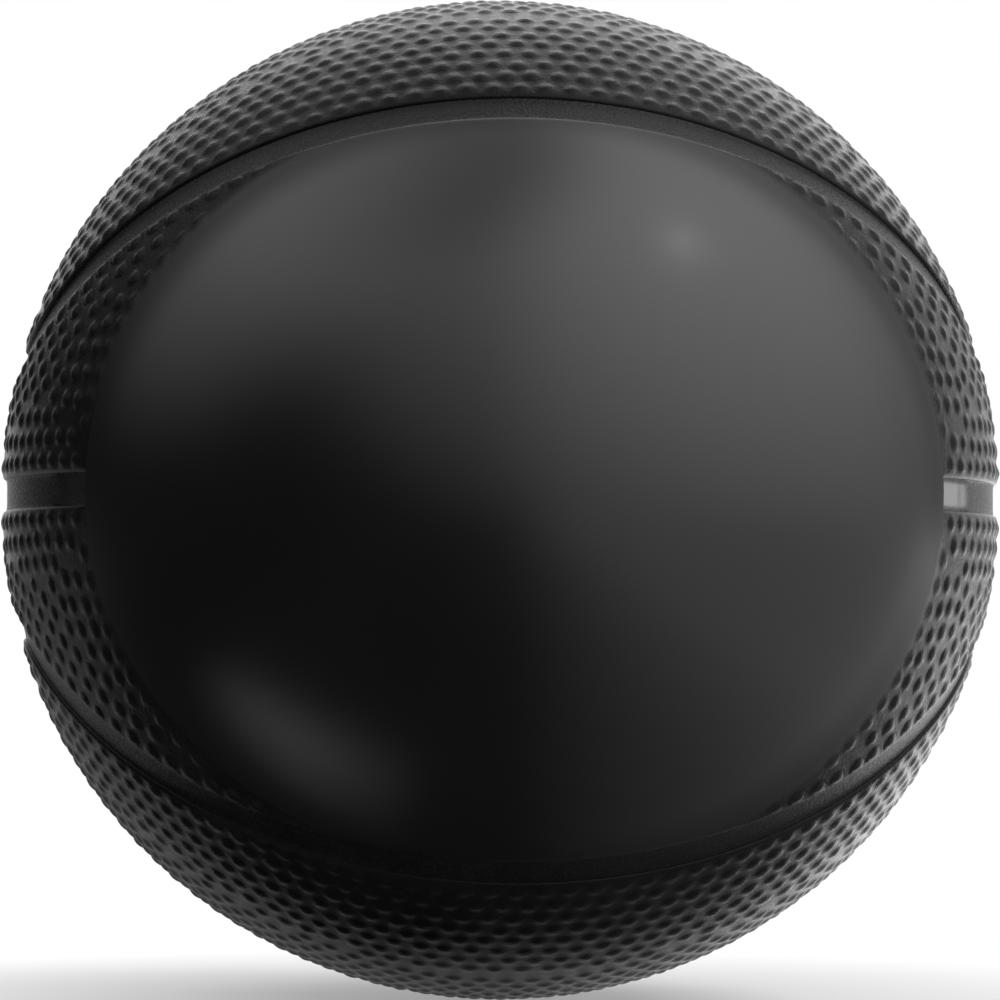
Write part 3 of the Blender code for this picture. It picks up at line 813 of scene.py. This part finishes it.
def valvePieces():
    # body: stem with a rounded face, flange against the bladder, boot with a groove for the plug's bead;
    # plug: core with a guide for the needle and a bead in the groove
    v, rim, thick = valve, valve["mouth"], valve["flangeThick"]
    bootTop = onBall(v["flangeTop"], v["flange"]) - thick
    bootEnd = bootTop - v["bootLong"]
    beadLow = bootEnd + v["beadInset"]
    beadHigh = beadLow + v["beadLong"]
    spread = np.linspace(v["stem"], v["flange"], v["flangeSteps"])
    body = [
        *arc(v["stem"] - rim, valveFace - rim, rim, 90, 0),
        *[(r, onBall(v["flangeTop"], r)) for r in spread],
        *arc(v["flange"] - thick / 2, bootTop + thick / 2, thick / 2, 0, -90),
        (v["boot"], bootTop),
        *arc(v["boot"] - rim, bootEnd + rim, rim, 0, -90),
        (v["bore"], bootEnd),
        (v["bore"], beadLow - v["gap"]),
        (v["groove"], beadLow),
        (v["groove"], beadHigh),
        (v["bore"], beadHigh + v["gap"]),
        (v["bore"], valveFace - v["neck"]),
        (v["needleHole"], valveFace - v["neck"]),
        *arc(v["needleHole"] + rim, valveFace - rim, rim, 180, 90),
    ]
    plugTop = valveFace - v["neck"] - v["gap"]
    beadSide = v["plug"] + v["bead"] - v["gap"]
    plug = [
        (0.0, plugTop - v["guide"]),
        (v["needleHole"], plugTop),
        *arc(v["plug"] - rim / 2, plugTop - rim / 2, rim / 2, 90, 0),
        (v["plug"], beadHigh),
        *arc(beadSide, beadHigh - v["gap"], v["gap"], 90, 0)[1:],
        *arc(beadSide, beadLow + v["gap"], v["gap"], 0, -90)[:-1],
        (v["plug"], beadLow),
        *arc(v["plug"] - rim, bootEnd + rim, rim, 0, -90),
        (0.0, bootEnd),
    ]
    addPiece(turnedMesh("valve_body_moulded", body), "valve_body", valveMaterial, v["sharp"])
    addPiece(turnedMesh("valve_plug_moulded", plug), "valve_plug", plugMaterial, v["sharp"])


# rubbers with one finish all over
plainRubber = {**seamRubber, "fades": False, "coat": 0.0}
valveRubber = {
    **plainRubber,
    "dark": (0.0110, 0.0110, 0.0115), "light": (0.0145, 0.0145, 0.0150),
    "roughness": (0.36, 0.46), "grainDepth": 0.00001, "speckRare": 0.99,
}
plugRubber = {
    **plainRubber,
    "dark": (0.085, 0.060, 0.038), "light": (0.125, 0.094, 0.064),
    "roughness": (0.45, 0.60), "grainDepth": 0.00002, "speckRare": 0.99,
}
carcassRubber = {
    **plainRubber,
    "dark": (0.040, 0.036, 0.032), "light": (0.060, 0.054, 0.048), "cloudScale": 60.0,
    "roughness": (0.60, 0.80), "grainScale": 1400.0, "grainDepth": 0.00005, "speckRare": 0.98,
}
butylRubber = {
    **plainRubber,
    "dark": (0.024, 0.024, 0.026), "light": (0.036, 0.036, 0.038), "cloudScale": 40.0,
    "roughness": (0.38, 0.55), "grainScale": 1800.0, "grainDepth": 0.00002, "speckRare": 0.99,
}
valveMaterial = rubberMaterial("valveRubber", valveRubber)
plugMaterial = rubberMaterial("plugRubber", plugRubber)
valvePieces()
cutValveHole(valveBelt)
print("valve done")

nylonThread = {
    "dark": (0.50, 0.47, 0.40), "light": (0.80, 0.78, 0.73),
    "strand": 0.00050, "depth": 0.00008,
    "between": 0.6,  # painted shade: share of the tone left in the gaps between strands
    "roughness": (0.75, 0.5),  # between strands and on top of them
}


def threadMaterial(look):
    # wound thread: strands lie at even steps along their bundle's pole and give colour, gloss and relief;
    # the colour is the bundle's tone with painted shade in the gaps between strands
    material, tree, shader = newMaterial("nylonThread")
    pole = attribute(tree, "pole")["Vector"]
    across = sums(tree, "DOT_PRODUCT", objectPlace(tree), pole, kind="VectorMath")
    wave = sums(tree, "SINE", sums(tree, "MULTIPLY", across, 2 * math.pi / look["strand"]))
    strand = ramp(tree, wave, -1.0, 1.0)
    # painted shade: the tone darkens between strands
    shade = sums(tree, "MULTIPLY", attribute(tree, "tone")["Fac"], mixed(tree, strand, look["between"], 1.0))
    bump = node(tree, "Bump", Height=strand, Strength=1.0, Distance=look["depth"])
    feed(tree, shader.inputs["Base Color"], twoTone(tree, shade, look))
    feed(tree, shader.inputs["Roughness"], mixed(tree, strand, *look["roughness"]))
    feed(tree, shader.inputs["Normal"], bump.outputs["Normal"])
    return material


layers = {
    "carcass": {
        "sides": 180, "outside": 90, "inside": 45,
        "seed": 11, "creases": 5, "creaseWide": 0.0030, "creaseDeep": 0.00006,
    },
    "nylon_winding": {"sides": 320, "outside": 280, "inside": 30},
    "bladder": {
        "sides": 240, "outside": 80, "inside": 40,
        "gores": 4, "weldWide": 0.0045, "weldHigh": 0.00012, "weldEdge": (0.2, 0.5),
    },
}
layerMerge = 2e-6  # points this near at the far pole become one

# bundles of thread; the first lies lowest
winding = {
    "seed": 7, "turns": 210, "wide": 0.0034, "deep": 0.00020, "lowest": 0.5,
    "jitter": 0.08, "gapShare": 0.001, "tones": (0.55, 1.0),
}


def windingBundles():
    # poles of great circles: steps of the golden angle up a half ball, shuffled, slightly moved; and tones
    random = np.random.default_rng(winding["seed"])
    step = random.permutation(winding["turns"]) + 0.5
    rise = step / winding["turns"]
    turn = step * math.pi * (3 - math.sqrt(5))
    flat = np.sqrt(1 - rise**2)
    spread = np.stack([flat * np.cos(turn), flat * np.sin(turn), rise], -1)
    poles = unit(spread + random.normal(0, winding["jitter"], spread.shape))
    return poles, random.uniform(*winding["tones"], winding["turns"])


bundlePoles, bundleTones = windingBundles()


def bundleHeights(aim):
    # share of the full height for each bundle: half an ellipse across its circle, later turns lie higher;
    # beside it the share falls slowly, so that a gap belongs to the nearest bundle
    gap = leanOf(aim @ bundlePoles.T) * crest / (winding["wide"] / 2)
    level = np.linspace(winding["lowest"], 1.0, winding["turns"])
    return level * np.sqrt(np.clip(1 - gap**2, 0, 1)) - winding["gapShare"] * gap


def windingRelief(aim):
    # metres below the outside: the highest bundle shows
    highest = inChunks(lambda part: bundleHeights(part).max(1), aim)
    return winding["deep"] * (1 - np.clip(highest, 0, 1))


def markBundles(mesh):
    # each point takes the pole and the tone of the bundle on top of it
    top = inChunks(lambda part: bundleHeights(part).argmax(1), unit(vertexPoints(mesh)))
    poles = mesh.attributes.new("pole", "FLOAT_VECTOR", "POINT")
    poles.data.foreach_set("vector", bundlePoles[top].astype(np.float32).ravel())
    setAttribute(mesh, "tone", bundleTones[top])


def bladderRelief(aim):
    # metres below the outside: all but the welds between the gores, from the valve to the far pole
    layer = layers["bladder"]
    turn = aroundValve(layer["sides"])[0]
    span = 2 * math.pi / layer["gores"]
    beside = np.abs((turn + span / 2) % span - span / 2)[:, None]
    away = beside * np.linalg.norm(np.cross(aim, valveAxis), axis=-1) * crest
    return layer["weldHigh"] * smoothStep(away / layer["weldWide"], *layer["weldEdge"])


def carcassRelief(aim):
    # metres below the outside: shallow creases where the rubber sheets overlap, on great circles
    layer = layers["carcass"]
    poles = unit(np.random.default_rng(layer["seed"]).normal(size=(layer["creases"], 3)))
    gap = leanOf(aim @ poles.T).min(-1) * crest
    return layer["creaseDeep"] * (1 - smoothStep(gap, 0.0, layer["creaseWide"] / 2))


def layerShell(name, material, relief):
    # shell about the valve's axis: from the valve hole to the far pole and back inside
    layer = layers[name]
    inner, outer = nodeRadii(name)
    ring = aroundValve(layer["sides"])[1]

    def spread(radius, count):
        # directions from the valve hole's edge to the far pole
        polar = np.linspace(math.asin(valve["holeInCover"] / radius), math.pi, count + 1)[None, :, None]
        return np.sin(polar) * ring[:, None] + np.cos(polar) * valveAxis

    outside, inside = spread(outer, layer["outside"]), spread(inner, layer["inside"])
    points = np.concatenate([outside * (outer - relief(outside))[..., None], inside[:, ::-1] * inner], 1)
    return addPiece(closedMesh(name + "_layer", points, layerMerge), name, material)


layerShell("carcass", rubberMaterial("carcassRubber", carcassRubber), carcassRelief)
woundLayer = layerShell("nylon_winding", threadMaterial(nylonThread), windingRelief)
markBundles(woundLayer.data)
layerShell("bladder", rubberMaterial("butylRubber", butylRubber), bladderRelief)
print("inner layers done")

# camera at the photograph's angle, so many ball radii away; the ball fills that share of the picture
view = {
    "yaw": math.radians(3.11), "pitch": math.radians(1.72), "roll": math.radians(0.29),
    "far": 10.0, "share": 500.5 / 500, "sensor": 36.0, "clip": (0.01, 100.0),
}


def facingBall(start, far):
    # place at a distance along a direction, turned to look back at the ball's centre
    return Matrix.Translation(start * far) @ (-start).to_track_quat("-Z", "Y").to_matrix().to_4x4()


def addCamera():
    # lens from the angle that the ball's outline takes up at that distance
    yaw, pitch = view["yaw"], view["pitch"]
    level = math.cos(pitch)
    toward = Vector((-math.sin(yaw) * level, -math.cos(yaw) * level, -math.sin(pitch)))
    data = bpy.data.cameras.new("camera")
    data.sensor_width = view["sensor"]
    outline = math.tan(math.asin(1 / view["far"]))
    data.lens = data.sensor_width / 2 * view["share"] / outline
    data.clip_start, data.clip_end = view["clip"]
    camera = addObject("camera", data)
    camera.matrix_world = facingBall(toward, crest * view["far"]) @ Matrix.Rotation(view["roll"], 4, "Z")
    bpy.context.scene.camera = camera


addCamera()

studio = {
    "floorSize": 6.0, "floorColour": (0.90, 0.90, 0.90), "floorRough": 0.9, "floorShine": 0.1,
    "white": (0.035, 0.12),  # distances from the ball's centre between which the floor turns white
    "ambient": 0.10,  # share of the white background that lights the scene
}


def whiteRays(tree):
    # 1 for rays that see the background itself: camera, glossy and transmission rays
    rays = node(tree, "LightPath").outputs
    seen = sums(tree, "MAXIMUM", rays["Is Camera Ray"], rays["Is Glossy Ray"])
    return sums(tree, "MAXIMUM", seen, rays["Is Transmission Ray"])


def addStage(name, points, faces):
    # object of the studio, which isn't part of the ball
    mesh = bpy.data.meshes.new(name)
    mesh.from_pydata(points, [], faces)
    made = addObject(name, mesh)
    return made


def addFloor():
    # pale square that takes the ball's shadow and turns white with distance
    size, z = studio["floorSize"], -crest
    corners = [(-size, -size, z), (size, -size, z), (size, size, z), (-size, size, z)]
    floor = addStage("floor", corners, [(0, 1, 2, 3)])
    material, tree, shader = newMaterial("paleFloor")
    shader.inputs["Base Color"].default_value = (*studio["floorColour"], 1)
    shader.inputs["Roughness"].default_value = studio["floorRough"]
    shader.inputs["Specular IOR Level"].default_value = studio["floorShine"]
    far = ramp(tree, sums(tree, "LENGTH", objectPlace(tree), kind="VectorMath"), *studio["white"])
    white = node(tree, "Emission", Strength=1.0)
    blend = node(tree, "MixShader", Fac=sums(tree, "MULTIPLY", far, whiteRays(tree)))
    tree.links.new(shader.outputs["BSDF"], blend.inputs[1])
    tree.links.new(white.outputs["Emission"], blend.inputs[2])
    tree.links.new(blend.outputs["Shader"], tree.nodes["Material Output"].inputs["Surface"])
    floor.data.materials.append(material)


addFloor()

# cloth tent round the ball that glows by itself, seen only in its reflections; its glow is painted light:
# pale behind and above, a window at upper right front, dark at lower left front; its floor cloth glows more
# to the right, painted light of a floor lit from the right, with the ball's shadow at left
tent = {
    "radius": 2.0, "turns": 97, "rises": 49,
    "level": 1e-6,  # directions that point further down end on the floor
    "lift": 0.00005,  # of its floor cloth above the floor
    "floorTo": 0.001,  # height up to which it is floor cloth
    # a ramp's row is from, to and the values there, which are 0 and 1 if none are given
    "window": (0.52, -0.30, 0.80), "windowGlow": 1.08, "windowFall": 1.4,
    "windowRamp": (0.0, 1.0), "windowBack": (0.03, 0.42, 1.0, 0.45),
    "fill": (-0.633, 0.0, 0.773), "fillGlow": 0.55, "fillFall": 1.5,
    "fillRamp": (0.707, 1.0), "fillBack": (0.05, 0.38, 1.0, 0.50),
    "topShade": (-0.25, -0.10, 0.96), "topShadeRamp": (0.84, 0.95, 1.0, 0.34),
    "seamAt": -0.13, "seamRamp": (0.30, 0.0, 1.0, 0.70),  # painted shade between window and fill, by x
    "backdrop": (0.0, 0.90, 0.43), "backdropRamp": (0.64, 1.0, 0.0, 1.65),
    "leftRamp": (-0.6, 0.0, 0.2, 1.0),  # of the backdrop, by x
    "lamp": (0.74, 0.673), "lampGlow": 1.8, "lampWide": (0.14, 0.14 / 3), "lampTall": (0.6, 0.0),
    "floorGlow": 0.003, "floorSlope": 3.1, "floorMost": 0.32,  # per metre towards the right
    "behindRamp": (-0.032, -0.018, 0.0, 0.3), "behindSlant": 0.4,  # painted light on the floor cloth behind the ball
    "cornerRamp": (-0.04, 0.0, 0.0, 1.3), "cornerX": (0.0, 0.08),  # and at its right
    "stripGlow": 0.33, "stripAt": -0.058, "stripRamp": (0.016, 0.0),  # painted pale strip of light on it at left
    "stripFar": (-0.115, -0.075), "stripNear": (-0.018, -0.050),
}


def tentGlow(tree):
    # wall: powers and ramps of the nearness to a few directions, dimmed towards others;
    # floor cloth: rises with x, with ramps behind the ball and at its right, and a pale strip at left
    place = objectPlace(tree)
    aim = sums(tree, "NORMALIZE", place, kind="VectorMath", output="Vector")

    def toward(*direction):
        # cosine of the angle to a direction
        return sums(tree, "DOT_PRODUCT", aim, Vector(direction).normalized(), kind="VectorMath")

    def times(one, two):
        # product of two numbers or outputs
        return sums(tree, "MULTIPLY", one, two)

    def added(value, share, rest):
        # value times share, plus the rest
        return sums(tree, "MULTIPLY_ADD", value, share, rest)

    def ramped(name, value, middle=None):
        # the named ramp over a value, or over its distance from the middle
        if middle is not None:
            value = sums(tree, "ABSOLUTE", sums(tree, "SUBTRACT", value, middle))
        return ramp(tree, value, *tent[name])

    def patch(name):
        # power of the nearness to a direction, falling towards the back
        near = ramped(name + "Ramp", toward(*tent[name]))
        return times(sums(tree, "POWER", near, tent[name + "Fall"]), ramped(name + "Back", toward(0, 1, 0)))

    window = times(patch("window"), ramped("topShadeRamp", toward(*tent["topShade"])))
    window = times(window, ramped("seamRamp", toward(1, 0, 0), tent["seamAt"]))
    wall = ramped("backdropRamp", toward(*tent["backdrop"]))
    wall = times(wall, ramped("leftRamp", toward(1, 0, 0)))
    wall = added(window, tent["windowGlow"], wall)
    wall = added(patch("fill"), tent["fillGlow"], wall)
    lampX, lampY = tent["lamp"]
    lamp = ramped("lampWide", toward(lampY, -lampX, 0), 0.0)
    lamp = times(lamp, ramped("lampTall", toward(0, 0, 1), 0.0))
    lamp = times(lamp, sums(tree, "GREATER_THAN", toward(lampX, lampY, 0), 0.0))
    wall = added(lamp, tent["lampGlow"], wall)

    x, y, z = node(tree, "SeparateXYZ", Vector=place).outputs
    floor = added(x, tent["floorSlope"], tent["floorGlow"])
    floor = sums(tree, "MINIMUM", sums(tree, "MAXIMUM", floor, tent["floorGlow"]), tent["floorMost"])
    back = added(sums(tree, "ABSOLUTE", x), -tent["behindSlant"], y)
    corner = times(ramped("cornerRamp", back), ramped("cornerX", x))
    floor = sums(tree, "ADD", floor, sums(tree, "ADD", ramped("behindRamp", back), corner))
    strip = times(ramped("stripFar", x), ramped("stripNear", x))
    strip = times(strip, ramped("stripRamp", y, tent["stripAt"]))
    floor = added(strip, tent["stripGlow"], floor)
    return mixed(tree, sums(tree, "GREATER_THAN", z, -crest + tent["floorTo"]), floor, wall)


def addTent():
    # ball of cloth flattened on the floor: the radius is cut where it would go below
    turn = np.linspace(0, 2 * math.pi, tent["turns"])
    rise = np.linspace(-math.pi / 2, math.pi / 2, tent["rises"])
    turn, rise = np.meshgrid(turn, rise, indexing="ij")
    aim = np.stack([np.cos(rise) * np.cos(turn), np.cos(rise) * np.sin(turn), np.sin(rise)], -1)
    down = -aim[..., 2]
    reach = np.where(down > tent["level"], (crest - tent["lift"]) / np.maximum(down, tent["level"]), np.inf)
    points = (aim * np.minimum(tent["radius"], reach)[..., None]).reshape(-1, 3)
    made = addStage("tent", points, quads(np.arange(turn.size).reshape(turn.shape)).tolist())
    for kind in ("camera", "diffuse", "transmission", "volume_scatter", "shadow"):
        setattr(made, "visible_" + kind, False)
    material, tree, shader = newMaterial("tentGlowingCloth")
    # the tent's glow is painted light, seen only in the ball's reflections
    glowingCloth = node(tree, "Emission", Strength=tentGlow(tree))
    tree.links.new(glowingCloth.outputs["Emission"], tree.nodes["Material Output"].inputs["Surface"])
    material.cycles.emission_sampling = "NONE"
    made.data.materials.append(material)


addTent()

# direction, size, power, and whether the lamp itself shows in reflections
lamps = {
    "windowLight": ((0.72, -0.05, 0.70), (0.55, 0.55), 6.0, False),
    "fillLight": ((-0.633, 0.0, 0.773), (0.45, 0.45), 1.6, False),
    "smallSpot": ((0.53, -0.35, 0.775), (0.08, 0.05), 0.055, True),
}
lampFar = 0.9  # lamp to the ball's centre


def addLamps():
    # each lamp faces the ball from its direction
    for name, (start, size, power, glossy) in lamps.items():
        data = bpy.data.lights.new(name, "AREA")
        data.shape, data.energy = "RECTANGLE", power
        data.size, data.size_y = size
        made = addObject(name, data)
        made.matrix_world = facingBall(Vector(start).normalized(), lampFar)
        made.visible_glossy = glossy


addLamps()


def addWorld():
    # white where the background itself is seen, dim grey for the rest
    world = bpy.data.worlds.new("studio")
    bpy.context.scene.world = world
    world.use_nodes = True
    tree = world.node_tree
    background = tree.nodes["Background"]
    tree.links.new(mixed(tree, whiteRays(tree), studio["ambient"], 1.0), background.inputs["Strength"])
    background.inputs["Color"].default_value = (1, 1, 1, 1)


addWorld()
bpy.context.scene.view_settings.view_transform = "Standard"
print("studio done")
